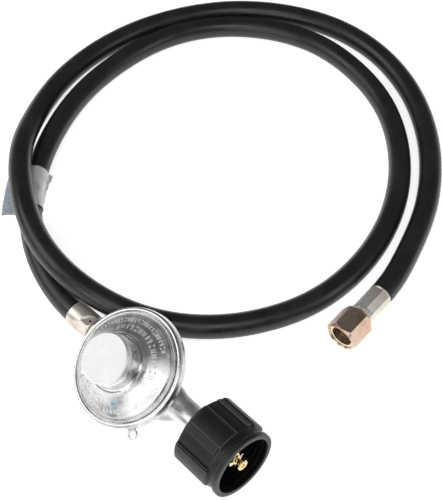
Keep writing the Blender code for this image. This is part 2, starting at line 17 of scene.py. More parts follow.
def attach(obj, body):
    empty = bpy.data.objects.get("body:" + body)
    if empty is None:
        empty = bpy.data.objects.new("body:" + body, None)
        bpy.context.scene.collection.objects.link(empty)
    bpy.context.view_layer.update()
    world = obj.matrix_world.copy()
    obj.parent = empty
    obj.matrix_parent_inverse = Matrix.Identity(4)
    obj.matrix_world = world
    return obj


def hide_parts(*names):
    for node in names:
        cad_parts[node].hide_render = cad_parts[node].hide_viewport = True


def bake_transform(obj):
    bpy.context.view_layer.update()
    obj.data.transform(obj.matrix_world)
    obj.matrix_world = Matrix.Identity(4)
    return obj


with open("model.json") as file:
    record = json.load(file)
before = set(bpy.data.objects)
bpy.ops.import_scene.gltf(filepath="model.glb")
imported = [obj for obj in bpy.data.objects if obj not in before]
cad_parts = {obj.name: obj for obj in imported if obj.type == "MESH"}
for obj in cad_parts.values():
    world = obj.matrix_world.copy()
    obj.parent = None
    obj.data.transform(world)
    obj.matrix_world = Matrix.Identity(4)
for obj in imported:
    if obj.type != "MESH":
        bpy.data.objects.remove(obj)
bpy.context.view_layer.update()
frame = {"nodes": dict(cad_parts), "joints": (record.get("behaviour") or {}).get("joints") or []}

MM = 0.001
TAU = 2 * math.pi
SAME_MM = 0.0005  # points of a drawn piece closer than this are one
SLIVER_MM = 0.002  # edges shorter than this are left over from a cut or a bevel

joints = {j["name"]: j for j in frame["joints"]}
gas_axis = Vector(joints["tank_nut_turn"]["axis"])
bonnet_axis = Vector(joints["diaphragm_lift"]["axis"])
pivot = Vector(joints["lever_turn"]["pos_m"])
PIVOT_X, PIVOT_Z = -7.0, 4.0  # the lever's pivot in the regulator's frame
axis_point = pivot - gas_axis * PIVOT_X * MM - bonnet_axis * PIVOT_Z * MM
swivel_axis = Vector(joints["swivel_nut_turn"]["axis"])
swivel_mouth = Vector(joints["swivel_nut_turn"]["pos_m"])


def placed(origin, x_axis, z_axis):
    """The matrix of a local frame from its origin and two of its axes."""
    y_axis = z_axis.cross(x_axis)
    turn = Matrix((x_axis, y_axis, z_axis)).transposed()
    return Matrix.Translation(origin) @ turn.to_4x4()


REG = placed(axis_point, gas_axis, bonnet_axis)
SWIVEL = placed(swivel_mouth, swivel_axis, Vector((0.0, 0.0, 1.0)))
TABLE = Matrix.Identity(4)
ALONG_X = Matrix.Rotation(math.radians(90.0), 4, "Y")  # a shape turned about z lies along x
UPRIGHT = Matrix.Identity(4)  # and here it stays as it is

# ---------------------------------------------------------------- camera

CAMERA_AT = (0.22783, -0.15520, 0.53934)
CAMERA_AIM = (-0.05217, 0.10754, 0.0)
LENS_MM = 74.6

camera_data = bpy.data.cameras.new("camera")
camera_data.lens = LENS_MM
camera_data.sensor_width = 36.0
camera_data.clip_start, camera_data.clip_end = 0.02, 20.0
camera = bpy.data.objects.new("camera", camera_data)
bpy.context.scene.collection.objects.link(camera)
camera.location = CAMERA_AT
aim = Vector(CAMERA_AIM) - Vector(CAMERA_AT)
camera.rotation_euler = aim.to_track_quat("-Z", "Y").to_euler()
bpy.context.scene.camera = camera


# ---------------------------------------------------------------- mesh helpers

def new_object(name, bm, place, material, body, stands_for=()):
    """Makes the bmesh (in millimetres, in a local frame) a piece that rides on a body."""
    bmesh.ops.scale(bm, vec=(MM, MM, MM), verts=bm.verts)
    bmesh.ops.recalc_face_normals(bm, faces=bm.faces)
    mesh = bpy.data.meshes.new(name)
    bm.to_mesh(mesh)
    bm.free()
    mesh.transform(place)
    mesh.materials.append(material)
    obj = bpy.data.objects.new(name, mesh)
    bpy.context.scene.collection.objects.link(obj)
    finish_piece(obj, body, stands_for)
    return obj


def finish_piece(obj, body, stands_for):
    """Says what the piece rides on and which CAD nodes it stands for."""
    if body:
        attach(obj, body)
    if stands_for:
        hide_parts(*stands_for)


def shade(obj, angle_deg=40.0, weighted=True):
    """Smooth shading that stays sharp at edges steeper than the angle."""
    obj.data.shade_smooth()
    obj.data.set_sharp_from_angle(angle=math.radians(angle_deg))
    if weighted:
        even = obj.modifiers.new("Normals", "WEIGHTED_NORMAL")
        even.keep_sharp = True
        even.weight = 60


def rounded(corners, per=4, closed=True):
    """Profile (r, z) through corners given as (r, z) or (r, z, fillet radius)."""
    out = []
    count = len(corners)
    for i, corner in enumerate(corners):
        here = Vector(corner[:2])
        fillet = corner[2] if len(corner) > 2 else 0.0
        if fillet <= 0 or (not closed and i in (0, count - 1)):
            out.append(tuple(here))
            continue
        back = Vector(corners[i - 1][:2]) - here
        ahead = Vector(corners[(i + 1) % count][:2]) - here
        u, v = back.normalized(), ahead.normalized()
        between = u.angle(v)
        if between > math.pi - 0.03:
            out.append(tuple(here))
            continue
        run = min(fillet / math.tan(between / 2), 0.48 * back.length, 0.48 * ahead.length)
        radius = run * math.tan(between / 2)
        centre = here + (u + v).normalized() * (radius / math.sin(between / 2))
        first, last = here + u * run - centre, here + v * run - centre
        turn = math.atan2(first.x * last.y - first.y * last.x, first.dot(last))
        for k in range(per + 1):
            a = turn * k / per
            c, s = math.cos(a), math.sin(a)
            out.append((centre.x + first.x * c - first.y * s,
                        centre.y + first.x * s + first.y * c))
    return out


def lathe(profile, steps=128, closed=True):
    """Turns (r, z) points about z. Points on the axis become one vertex."""
    bm = bmesh.new()
    rings = []
    for r, z in profile:
        if r < 1e-6:
            rings.append([bm.verts.new((0.0, 0.0, z))] * steps)
        else:
            rings.append([
                bm.verts.new((r * math.cos(TAU * i / steps), r * math.sin(TAU * i / steps), z))
                for i in range(steps)
            ])
    spans = list(zip(rings, rings[1:]))
    if closed:
        spans.append((rings[-1], rings[0]))
    for low, high in spans:
        for i in range(steps):
            j = (i + 1) % steps
            face = []
            for vert in (low[i], low[j], high[j], high[i]):
                if vert not in face:
                    face.append(vert)
            if len(face) > 2:
                bm.faces.new(face)
    return bm


def skin(grid, close_around=True):
    """Faces over a grid of points: rows along the piece, each row running round it."""
    bm = bmesh.new()
    rows = [[bm.verts.new(p) for p in row] for row in grid]
    for row, following in zip(rows, rows[1:]):
        count = len(row)
        for i in range(count if close_around else count - 1):
            j = (i + 1) % count
            bm.faces.new((row[i], row[j], following[j], following[i]))
    return bm


def turned_x(bm):
    """Turns a bmesh drawn about z so that its z becomes x."""
    bmesh.ops.transform(bm, matrix=ALONG_X, verts=bm.verts)
    return bm


def ease(t):
    """Smooth step from 0 to 1, flat outside."""
    t = min(1.0, max(0.0, t))
    return t * t * (3 - 2 * t)


def band(value, low, high, soft):
    """1 between low and high, easing to 0 over soft on each side."""
    return ease((value - low) / soft + 0.5) * ease((high - value) / soft + 0.5)


def merge(bm, other):
    """Adds the other bmesh to the first one."""
    mesh = bpy.data.meshes.new("part")
    other.to_mesh(mesh)
    other.free()
    bm.from_mesh(mesh)
    bpy.data.meshes.remove(mesh)


def slab(outline, low, high):
    """A plate with the (x, y) outline between two heights."""
    bm = bmesh.new()
    bottom = [bm.verts.new((x, y, low)) for x, y in outline]
    top = [bm.verts.new((x, y, high)) for x, y in outline]
    bm.faces.new(bottom)
    bm.faces.new(top)
    for i in range(len(outline)):
        j = (i + 1) % len(outline)
        bm.faces.new((bottom[i], bottom[j], top[j], top[i]))
    return bm


def bake(obj):
    """Applies an object's modifiers and clears the slivers that cuts and bevels leave."""
    bpy.context.view_layer.update()
    graph = bpy.context.evaluated_depsgraph_get()
    mesh = bpy.data.meshes.new_from_object(obj.evaluated_get(graph))
    obj.modifiers.clear()
    obj.data = mesh
    bm = bmesh.new()
    bm.from_mesh(obj.data)
    bmesh.ops.remove_doubles(bm, verts=bm.verts, dist=SLIVER_MM * MM)
    bmesh.ops.dissolve_degenerate(bm, edges=bm.edges, dist=SLIVER_MM * MM)
    bm.to_mesh(obj.data)
    bm.free()


def cutter(name, radius, low, high, place, sides=48):
    """A rod or prism along the place's z, from low to high, for cutting other pieces."""
    bm = bmesh.new()
    bmesh.ops.create_cone(bm, cap_ends=True, segments=sides, radius1=radius * MM,
                          radius2=radius * MM, depth=(high - low) * MM,
                          matrix=Matrix.Translation((0.0, 0.0, (low + high) / 2 * MM)))
    mesh = bpy.data.meshes.new(name)
    bm.to_mesh(mesh)
    bm.free()
    obj = bpy.data.objects.new(name, mesh)
    bpy.context.scene.collection.objects.link(obj)
    obj.matrix_world = place
    return obj


def cut(obj, operation, tool):
    """Adds a Boolean to the object, which bake() applies."""
    boolean = obj.modifiers.new("Cut", "BOOLEAN")
    boolean.operation, boolean.solver, boolean.object = operation, "EXACT", tool


# ---------------------------------------------------------------- materials

INK = (0.05, 0.42, 0.60, 1.0)
# Colour of the painted shade in the grooves of plated pieces
GROOVE_SHADE = (0.03, 0.025, 0.02, 1.0)
# Tints of the painted highlights along convex edges
ZINC_EDGE_HIGHLIGHT = (0.95, 0.95, 0.94)
PLATING_EDGE_HIGHLIGHT = (0.95, 0.93, 0.86)


def node_material(name):
    mat = bpy.data.materials.new(name)
    mat.use_nodes = True
    tree = mat.node_tree
    return mat, tree, tree.nodes["Principled BSDF"]


def add(tree, kind, **inputs):
    """Adds a node; each value sets a property of that name, or else an input socket."""
    node = tree.nodes.new(kind)
    for key, value in inputs.items():
        if hasattr(node, key):
            setattr(node, key, value)
        else:
            node.inputs[key.replace("_", " ")].default_value = value
    return node


def link(tree, source, target):
    tree.links.new(source, target)


def noise(tree, coords, scale, detail=4.0, roughness=0.55, stretch=None):
    """Noise on object coordinates; scale is features per metre."""
    where = coords
    if stretch:
        mapping = add(tree, "ShaderNodeMapping")
        mapping.inputs["Scale"].default_value = stretch
        link(tree, coords, mapping.inputs["Vector"])
        where = mapping.outputs["Vector"]
    node = add(tree, "ShaderNodeTexNoise", Scale=scale, Detail=detail, Roughness=roughness)
    link(tree, where, node.inputs["Vector"])
    return node.outputs["Fac"]


def ramp(tree, source, stops):
    """A colour ramp; stops are (position, colour)."""
    node = add(tree, "ShaderNodeValToRGB")
    elements = node.color_ramp.elements
    while len(elements) < len(stops):
        elements.new(0.5)
    for element, (position, colour) in zip(elements, stops):
        element.position = position
        element.color = (*colour, 1.0)
    link(tree, source, node.inputs["Fac"])
    return node.outputs["Color"]


def grey(v):
    return (v, v, v)


def ranged(tree, source, low, high, from_low=0.3, from_high=0.7):
    """Maps the source from one range to another, clamped at both ends."""
    node = add(tree, "ShaderNodeMapRange")
    node.inputs["From Min"].default_value = from_low
    node.inputs["From Max"].default_value = from_high
    node.inputs["To Min"].default_value = low
    node.inputs["To Max"].default_value = high
    link(tree, source, node.inputs["Value"])
    return node.outputs["Result"]


def bump(tree, shader, source, height_mm, strength=1.0, chain=None):
    node = add(tree, "ShaderNodeBump")
    node.inputs["Strength"].default_value = strength
    node.inputs["Distance"].default_value = height_mm * MM
    link(tree, source, node.inputs["Height"])
    if chain:
        link(tree, chain, node.inputs["Normal"])
    link(tree, node.outputs["Normal"], shader.inputs["Normal"])
    return node.outputs["Normal"]


def object_coords(tree):
    return add(tree, "ShaderNodeTexCoord").outputs["Object"]


def edge_highlight(tree, colour, lighter, amount=0.5):
    """Painted highlights: lightens a colour along convex edges, from the surface's pointiness."""
    geometry = add(tree, "ShaderNodeNewGeometry")
    edge = ramp(tree, geometry.outputs["Pointiness"], [(0.5, grey(0.0)), (0.58, grey(amount))])
    mix = add(tree, "ShaderNodeMix", data_type="RGBA")
    mix.inputs["B"].default_value = (*lighter, 1.0)
    link(tree, edge, mix.inputs["Factor"])
    link(tree, colour, mix.inputs["A"])
    return mix.outputs["Result"]


def cast_metal(name, dark, light, rough_low, rough_high, grain_mm=0.02):
    """Die-cast zinc: blotchy grey with a fine salt-and-pepper grain."""
    mat, tree, shader = node_material(name)
    coords = object_coords(tree)
    blotch = noise(tree, coords, 160, 5, 0.62)
    grain = noise(tree, coords, 1400, 3, 0.7)
    both = add(tree, "ShaderNodeMath", operation="MULTIPLY_ADD")
    link(tree, grain, both.inputs[0])
    both.inputs[1].default_value = 0.75
    link(tree, ranged(tree, blotch, -0.1, 0.35), both.inputs[2])
    colour = ramp(tree, both.outputs["Value"], [(0.18, dark), (0.62, light)])
    # Painted highlights along convex edges
    link(tree, edge_highlight(tree, colour, ZINC_EDGE_HIGHLIGHT), shader.inputs["Base Color"])
    shader.inputs["Metallic"].default_value = 1.0
    link(tree, ranged(tree, blotch, rough_low, rough_high), shader.inputs["Roughness"])
    first = bump(tree, shader, grain, grain_mm)
    bump(tree, shader, blotch, 0.12, 0.6, first)
    return mat


def plated(name, stops, rough_low=0.16, rough_high=0.3, groove_shade=0.0, metallic=1.0):
    """Plated metal whose thin film drifts between close tints; painted highlights on its edges,
    painted shade in its grooves.
    """
    mat, tree, shader = node_material(name)
    coords = object_coords(tree)
    drift = noise(tree, coords, 70, 3, 0.5)
    fine = noise(tree, coords, 1800, 3, 0.6)
    # Painted highlights along convex edges
    colour = edge_highlight(tree, ramp(tree, drift, stops), PLATING_EDGE_HIGHLIGHT, 0.6)
    # Painted shade: darkens concave grooves and hollows, from the surface's pointiness
    if groove_shade:
        geometry = add(tree, "ShaderNodeNewGeometry")
        low = ramp(tree, geometry.outputs["Pointiness"], [(0.42, grey(groove_shade)), (0.49, grey(0.0))])
        mix = add(tree, "ShaderNodeMix", data_type="RGBA")
        mix.inputs["B"].default_value = GROOVE_SHADE
        link(tree, low, mix.inputs["Factor"])
        link(tree, colour, mix.inputs["A"])
        colour = mix.outputs["Result"]
    link(tree, colour, shader.inputs["Base Color"])
    shader.inputs["Metallic"].default_value = metallic
    link(tree, ranged(tree, fine, rough_low, rough_high), shader.inputs["Roughness"])
    bump(tree, shader, fine, 0.006)
    return mat


def moulded(name, dark, light, rough_low, rough_high, grain_mm=0.03, edge=0.4, gloss=0.5):
    """Moulded plastic or rubber: fine grain, slightly uneven colour, painted highlights along
    edges.
    """
    mat, tree, shader = node_material(name)
    coords = object_coords(tree)
    grain = noise(tree, coords, 1500, 3, 0.6)
    patch = noise(tree, coords, 90, 4, 0.6)
    colour = ramp(tree, patch, [(0.3, dark), (0.7, light)])
    # Painted highlights along edges; edge sets how strong they are
    highlight_tint = tuple(min(1.0, v * 3 + 0.1) for v in light)
    link(tree, edge_highlight(tree, colour, highlight_tint, edge), shader.inputs["Base Color"])
    shader.inputs["Specular IOR Level"].default_value = gloss
    link(tree, ranged(tree, grain, rough_low, rough_high), shader.inputs["Roughness"])
    bump(tree, shader, grain, grain_mm)
    return mat


def hose_material():
    """Extruded rubber: faint lengthwise drag lines, dusty patches and a soft sheen."""
    mat, tree, shader = node_material("hose_rubber")
    coords = add(tree, "ShaderNodeTexCoord")
    patch = noise(tree, coords.outputs["Object"], 45, 5, 0.65)
    grain = noise(tree, coords.outputs["Object"], 2200, 2, 0.6)
    lines = noise(tree, coords.outputs["UV"], 1.0, 2, 0.5, stretch=(3.0, 90.0, 1.0))
    colour = ramp(tree, patch, [(0.32, (0.0105, 0.0105, 0.011)), (0.7, (0.021, 0.020, 0.020))])
    link(tree, colour, shader.inputs["Base Color"])
    rough = add(tree, "ShaderNodeMath", operation="ADD")
    link(tree, ranged(tree, patch, 0.22, 0.43), rough.inputs[0])
    link(tree, ranged(tree, lines, -0.06, 0.09), rough.inputs[1])
    link(tree, rough.outputs["Value"], shader.inputs["Roughness"])
    first = bump(tree, shader, lines, 0.05, 0.5)
    bump(tree, shader, grain, 0.02, 0.7, first)
    return mat


def ink_mark(material, at, size):
    """A faint smudge of blue ink round a point of a metal piece; at and size are in metres."""
    tree = material.node_tree
    shader = next(node for node in tree.nodes if node.type == "BSDF_PRINCIPLED")
    coords = object_coords(tree)
    away = add(tree, "ShaderNodeVectorMath", operation="DISTANCE")
    link(tree, coords, away.inputs[0])
    away.inputs[1].default_value = at
    near = ranged(tree, away.outputs["Value"], 1.0, 0.0, 0.2 * size, size)
    strokes = ranged(tree, noise(tree, coords, 700, 2, 0.5), 0.0, 1.0, 0.42, 0.56)
    amount = add(tree, "ShaderNodeMath", operation="MULTIPLY")
    link(tree, near, amount.inputs[0])
    link(tree, strokes, amount.inputs[1])
    base = shader.inputs["Base Color"]
    mix = add(tree, "ShaderNodeMix", data_type="RGBA")
    mix.inputs["B"].default_value = INK
    link(tree, base.links[0].from_socket, mix.inputs["A"])
    link(tree, amount.outputs["Value"], mix.inputs["Factor"])
    link(tree, mix.outputs["Result"], base)


zinc = cast_metal("cast_zinc", (0.43, 0.44, 0.455), (0.80, 0.805, 0.81), 0.27, 0.45)
# A darker copy of the zinc for the rim and the bonnet's flange: painted shade for their darker
# reflections
shaded_rim_zinc = cast_metal("shaded_rim_zinc", (0.42, 0.425, 0.43), (0.70, 0.70, 0.70), 0.22, 0.36)
zinc_casting = cast_metal("cast_zinc_body", (0.50, 0.515, 0.525), (0.82, 0.825, 0.825),
                          0.26, 0.42)
cap_metal = cast_metal("cap_zinc", (0.78, 0.78, 0.77), (0.93, 0.93, 0.915), 0.48, 0.62, 0.05)
relief_zinc = cast_metal("relief_zinc", (0.80, 0.80, 0.80), (0.95, 0.95, 0.95), 0.60, 0.75)
tower_zinc = cast_metal("tower_zinc", (0.60, 0.60, 0.60), (0.80, 0.80, 0.79), 0.10, 0.22, 0.006)
# The nut's nylon carries strong painted highlights along its edges
nylon = moulded("black_nylon", (0.0075, 0.0072, 0.0072), (0.0135, 0.0130, 0.0130), 0.36, 0.52,
                edge=0.9, gloss=0.36)
# A near-black, duller copy of the nylon for the socket's inner wall: painted shade
socket_shade = moulded("black_nylon_socket_shade", (0.0015, 0.0015, 0.0015), (0.003, 0.003, 0.003), 0.6, 0.75,
                 edge=0.0, gloss=0.12)
bushing = moulded("bushing_plastic", (0.05, 0.05, 0.05), (0.08, 0.08, 0.08), 0.4, 0.55)
nitrile = moulded("nitrile", (0.012, 0.012, 0.012), (0.022, 0.022, 0.022), 0.55, 0.7)
rubber = hose_material()
brass = plated("brass", [(0.35, (0.72, 0.47, 0.15)), (0.65, (0.90, 0.66, 0.27))], 0.14, 0.26)
# The nut's plating takes painted shade in its grooves
nut_steel = plated("swivel_nut_plating", [
    (0.30, (0.46, 0.29, 0.18)), (0.45, (0.66, 0.41, 0.30)), (0.60, (0.58, 0.48, 0.32)),
    (0.75, (0.74, 0.43, 0.34)),
], 0.22, 0.36, groove_shade=0.9)
# A near-black finish for the thread's roots: painted shade
thread_root_shade = plated("swivel_nut_thread", [
    (0.35, (0.02, 0.015, 0.01)), (0.65, (0.06, 0.05, 0.035)),
], 0.2, 0.34)
# The ferrules' plating takes painted shade in its grooves
ferrule_steel = plated("ferrule_plating", [
    (0.32, (0.66, 0.58, 0.49)), (0.52, (0.80, 0.74, 0.66)), (0.72, (0.88, 0.85, 0.80)),
], 0.28, 0.44, groove_shade=0.8, metallic=0.75)
steel = plated("spring_steel", [(0.35, (0.46, 0.47, 0.49)), (0.65, (0.58, 0.59, 0.61))],
               0.2, 0.34)
stamped = plated("stamped_steel", [(0.35, (0.52, 0.53, 0.54)), (0.65, (0.66, 0.67, 0.68))],
                 0.25, 0.4)

# ---------------------------------------------------------------- hose

HOSE_D = 14.9
REG_FERRULE = (-62.2, -43.9)  # from and to, along the regulator's x
FLARE_FERRULE = (-41.0, -21.2)  # the same along the swivel fitting's x
GAP = 0.3  # between a ferrule and the hose
END_STRAIGHT = 4.0
HOSE_POINTS = 240
# Route of the hose on the table, in millimetres from the floor under the regulator's axis point
HOSE_ROUTE = [
    (-105.0, 6.5, 7.6), (-139.0, 24.0, 8.3), (-167.0, 50.5, 8.3), (-188.0, 82.0, 8.0),
    (-202.8, 117.2, 7.5), (-208.6, 155.0, 7.5), (-205.5, 194.1, 7.5), (-189.4, 230.1, 7.5),
    (-163.0, 256.5, 7.5), (-128.3, 273.1, 7.5), (-90.0, 275.0, 7.5), (-53.0, 265.5, 7.5),
    (-20.5, 245.0, 7.5), (5.5, 216.5, 7.5), (23.4, 182.0, 7.5), (31.5, 145.0, 7.5),
    (29.0, 107.5, 7.5), (14.5, 72.5, 7.5), (-9.5, 42.0, 9.4), (-40.5, 20.0, 15.1),
    (-75.5, 9.0, 22.7), (-113.0, 12.0, 24.3), (-148.5, 27.0, 24.2), (-179.0, 49.0, 21.6),
    (-203.4, 77.4, 13.4), (-221.0, 110.0, 8.3), (-228.1, 148.0, 7.5), (-224.8, 186.7, 7.5),
    (-212.6, 222.1, 7.5), (-192.2, 253.8, 7.5), (-163.6, 279.0, 7.5), (-129.0, 295.5, 7.5),
    (-92.0, 299.5, 7.5), (-54.5, 291.0, 7.5), (-21.0, 272.5, 7.5), (7.5, 246.5, 7.5),
    (29.5, 215.5, 7.8), (45.0, 180.5, 8.7),
]


def smooth_route(knots, start_direction, end_direction, count):
    """Points evenly spaced on the cubic spline through the knots with the given end directions."""
    knots = np.array(knots)
    s = np.concatenate([[0.0], np.cumsum(np.linalg.norm(np.diff(knots, axis=0), axis=1))])
    h = np.diff(s)
    n = len(knots)
    system, rhs = np.zeros((n, n)), np.zeros((n, 3))
    system[0, 0] = system[-1, -1] = 1.0
    rhs[0], rhs[-1] = start_direction, end_direction
    for i in range(1, n - 1):
        system[i, i - 1 : i + 2] = h[i], 2 * (h[i - 1] + h[i]), h[i - 1]
        before = (knots[i] - knots[i - 1]) / h[i - 1]
        after = (knots[i + 1] - knots[i]) / h[i]
        rhs[i] = 3 * (before * h[i] + after * h[i - 1])
    slope = np.linalg.solve(system, rhs)

    def at(distance):
        i = min(int(np.searchsorted(s, distance, "right")) - 1, n - 2)
        u = (distance - s[i]) / h[i]
        return (
            knots[i] * (1 + 2 * u) * (1 - u) ** 2
            + slope[i] * h[i] * u * (1 - u) ** 2
            + knots[i + 1] * u * u * (3 - 2 * u)
            + slope[i + 1] * h[i] * u * u * (u - 1)
        )

    total = s[-1]
    between = np.linspace(0.0, total, count)[2:-2]
    return [at(d) for d in (0.0, END_STRAIGHT, *between, total - END_STRAIGHT, total)]


def hose_path():
    """The hose's middle line from one ferrule to the other, kept on the table."""
    start = REG @ Vector(((REG_FERRULE[0] - GAP) * MM, 0.0, 0.0)) / MM
    end = SWIVEL @ Vector(((FLARE_FERRULE[0] - GAP) * MM, 0.0, 0.0)) / MM
    under = Vector((axis_point.x / MM, axis_point.y / MM, 0.0))
    knots = [start] + [under + Vector(p) for p in HOSE_ROUTE] + [end]
    points = smooth_route(knots, -gas_axis, swivel_axis, HOSE_POINTS)
    return [Vector((x, y, max(z, HOSE_D / 2 + 0.1))) for x, y, z in points]


route = hose_path()
curve = bpy.data.curves.new("hose_tube", "CURVE")
curve.dimensions = "3D"
curve.bevel_depth = HOSE_D / 2 * MM
curve.bevel_resolution = 10
curve.use_fill_caps = True
spline = curve.splines.new("POLY")
spline.points.add(len(route) - 1)
for point, place in zip(spline.points, route):
    point.co = (*(place * MM), 1.0)
spline.use_smooth = True
curve.materials.append(rubber)
hose = bpy.data.objects.new("hose_tube", curve)
bpy.context.scene.collection.objects.link(hose)
finish_piece(hose, "root", ["hose"])


# ---------------------------------------------------------------- room

FLOOR_HALF = 3.0
GLOW_AT = (-0.08, 0.10, 0.0)
CENTRE = Vector((-0.08, 0.11, 0.0))

floor_mat, floor_tree, floor_shader = node_material("floor")
floor_shader.inputs["Base Color"].default_value = (0.93, 0.93, 0.93, 1.0)
floor_shader.inputs["Roughness"].default_value = 0.9
floor_shader.inputs["Specular IOR Level"].default_value = 0.1
floor_shader.inputs["Emission Color"].default_value = (1.0, 1.0, 1.0, 1.0)
# The paper glows a little round the object, which softens the shadows, and less further out
out_from = add(floor_tree, "ShaderNodeVectorMath", operation="DISTANCE")
link(floor_tree, object_coords(floor_tree), out_from.inputs[0])
out_from.inputs[1].default_value = GLOW_AT
link(floor_tree, ranged(floor_tree, out_from.outputs["Value"], 0.72, 0.42, 0.26, 0.9),
     floor_shader.inputs["Emission Strength"])
floor_bm = bmesh.new()
bmesh.ops.create_grid(floor_bm, x_segments=1, y_segments=1, size=FLOOR_HALF)
floor_mesh = bpy.data.meshes.new("floor")
floor_bm.to_mesh(floor_mesh)
floor_bm.free()
floor_mesh.materials.append(floor_mat)
floor = bpy.data.objects.new("floor", floor_mesh)
floor.location = (0.0, 0.1, 0.0)
bpy.context.scene.collection.objects.link(floor)

world = bpy.data.worlds.new("studio")
world.use_nodes = True
background = world.node_tree.nodes["Background"]
background.inputs["Color"].default_value = (0.95, 0.97, 1.0, 1.0)
background.inputs["Strength"].default_value = 0.14
bpy.context.scene.world = world


def softbox(name, azimuth, elevation, distance, size, power):
    """An area light that faces the scene's centre; azimuth and elevation are in degrees."""
    turn, rise = math.radians(azimuth), math.radians(elevation)
    away = Vector((math.cos(turn) * math.cos(rise), math.sin(turn) * math.cos(rise),
                   math.sin(rise))) * distance
    light = bpy.data.lights.new(name, "AREA")
    light.shape = "RECTANGLE"
    light.size, light.size_y = size
    light.energy = power
    obj = bpy.data.objects.new(name, light)
    bpy.context.scene.collection.objects.link(obj)
    obj.location = CENTRE + away
    obj.rotation_euler = (-away).to_track_quat("-Z", "Y").to_euler()


softbox("front_low", -66.0, 28.0, 1.25, (1.0, 0.62), 3.9)
softbox("front_high", -45.0, 59.0, 1.15, (0.62, 0.56), 2.7)
softbox("left", -136.0, 37.0, 1.6, (1.2, 0.95), 7.0)
softbox("right", 22.0, 30.0, 1.45, (0.5, 0.8), 2.2)
bpy.context.scene.view_settings.view_transform = "Standard"


# ---------------------------------------------------------------- regulator

EYELET_TURN = math.radians(316.0)
VENT_R, VENT_OUT, VENT_TURN = 2.6, 23.0, math.radians(225.0)
INK_OUT, INK_TURN, INK_SIZE = 22.4, math.radians(303.0), 0.0026


def bowl_casting():
    """The cast bowl, hub, inlet neck with its web and outlet boss, blended like a casting."""
    bm = lathe(rounded([
        (33.6, 16.9), (33.9, 15.2, 0.8), (33.0, 13.4, 0.8), (29.5, 10.8, 3), (24.5, 8.4, 3),
        (19.5, 6.5, 3), (16.0, 5.0, 1.5), (13.8, 2.4, 2), (13.0, -3.0, 1), (12.5, -8.8),
        (11.6, -11.4, 0.8), (0.0, -11.4), (0.0, -7.4), (10.2, -7.4), (10.2, 6.6), (12.6, 9.2),
        (19.0, 10.6), (26.0, 13.0), (29.6, 15.2), (29.6, 16.9),
    ]), 96)
    tubes = [
        [(5.9, 51.0), (7.3, 51.0), (7.75, 50.5), (7.75, 33.5), (9.6, 26.0), (10.2, 10.5),
         (3.3, 10.5), (3.3, 37.5), (5.9, 37.5)],
        [(5.7, -42.0), (7.5, -42.0), (7.9, -41.6), (7.9, -34.0), (10.2, -27.0), (10.2, -10.5),
         (4.2, -10.5), (4.2, -30.6), (5.7, -30.6)],
    ]
    for tube in tubes:
        merge(bm, turned_x(lathe(tube, 64)))
    merge(bm, slab([(22.0, -15.0), (28.0, -13.0), (33.0, -10.2), (36.0, -7.2), (36.0, -4.4),
                    (22.0, -4.4)], 1.6, 4.4))
    merge(bm, slab([(30.0, 7.2), (50.4, 7.2), (50.4, 8.15), (30.0, 8.15)], -0.35, 0.35))
    for side in (1, -1):
        merge(bm, slab([(-21.0, side * 15.0), (-27.0, side * 11.6), (-35.0, side * 7.4),
                        (-35.0, side * 4.4), (-21.0, side * 4.4)], -1.0, 2.6))
    casting = new_object("bowl_casting", bm, REG, zinc_casting, "root", ["regulator_body"])
    fuse = casting.modifiers.new("Fuse", "REMESH")
    fuse.mode = "VOXEL"
    fuse.voxel_size = 0.55 * MM
    fuse.use_smooth_shade = True
    soften = casting.modifiers.new("Soften", "SMOOTH")
    soften.factor, soften.iterations = 0.5, 7
    bake(casting)


def rim_and_eyelet():
    """The rolled rim that clamps the bonnet, and the seal eyelet that stands out under it."""
    # The rim takes the darker zinc copy: painted shade
    rim = new_object("rolled_rim", lathe(rounded([
        (32.0, 20.4, 0.5), (33.2, 20.45, 0.7), (34.1, 19.9, 0.7), (34.5, 18.6, 0.6),
        (34.7, 17.6, 0.4), (34.7, 14.9, 0.8), (33.4, 13.6, 0.6), (30.5, 13.6), (30.5, 16.5),
        (32.8, 16.5), (32.8, 19.4, 0.2), (32.0, 19.4, 0.3),
    ]), 192), REG, shaded_rim_zinc, "root", ["regulator_body"])
    shade(rim)
    loop = []
    for i in range(40):
        a = TAU * i / 40
        middle = Vector((37.3 + 2.5 * math.cos(a), 2.5 * math.sin(a), 15.25))
        out = Vector((math.cos(a), math.sin(a), 0.0))
        up = Vector((0.0, 0.0, 0.75))
        loop.append([middle + out * (0.9 * math.cos(TAU * k / 12)) + up * math.sin(TAU * k / 12)
                     for k in range(12)])
    bm = skin(loop + loop[:1])
    bmesh.ops.remove_doubles(bm, verts=bm.verts, dist=SAME_MM)
    eyelet = new_object("seal_eyelet", bm, REG @ Matrix.Rotation(EYELET_TURN, 4, "Z"),
                        zinc_casting, "root", ["regulator_body"])
    shade(eyelet)


def cone_height(r):
    """Height of the bonnet's cone at radius r: slightly hollow."""
    share = (29.0 - r) / (29.0 - 17.4)
    return 22.75 + 6.35 * share - 0.48 * math.sin(math.pi * share)


def on_cone(r, turn):
    """The point of the cone at radius r and angle turn, in metres in the regulator's frame."""
    return Vector((r * math.cos(turn), r * math.sin(turn), cone_height(r))) * MM


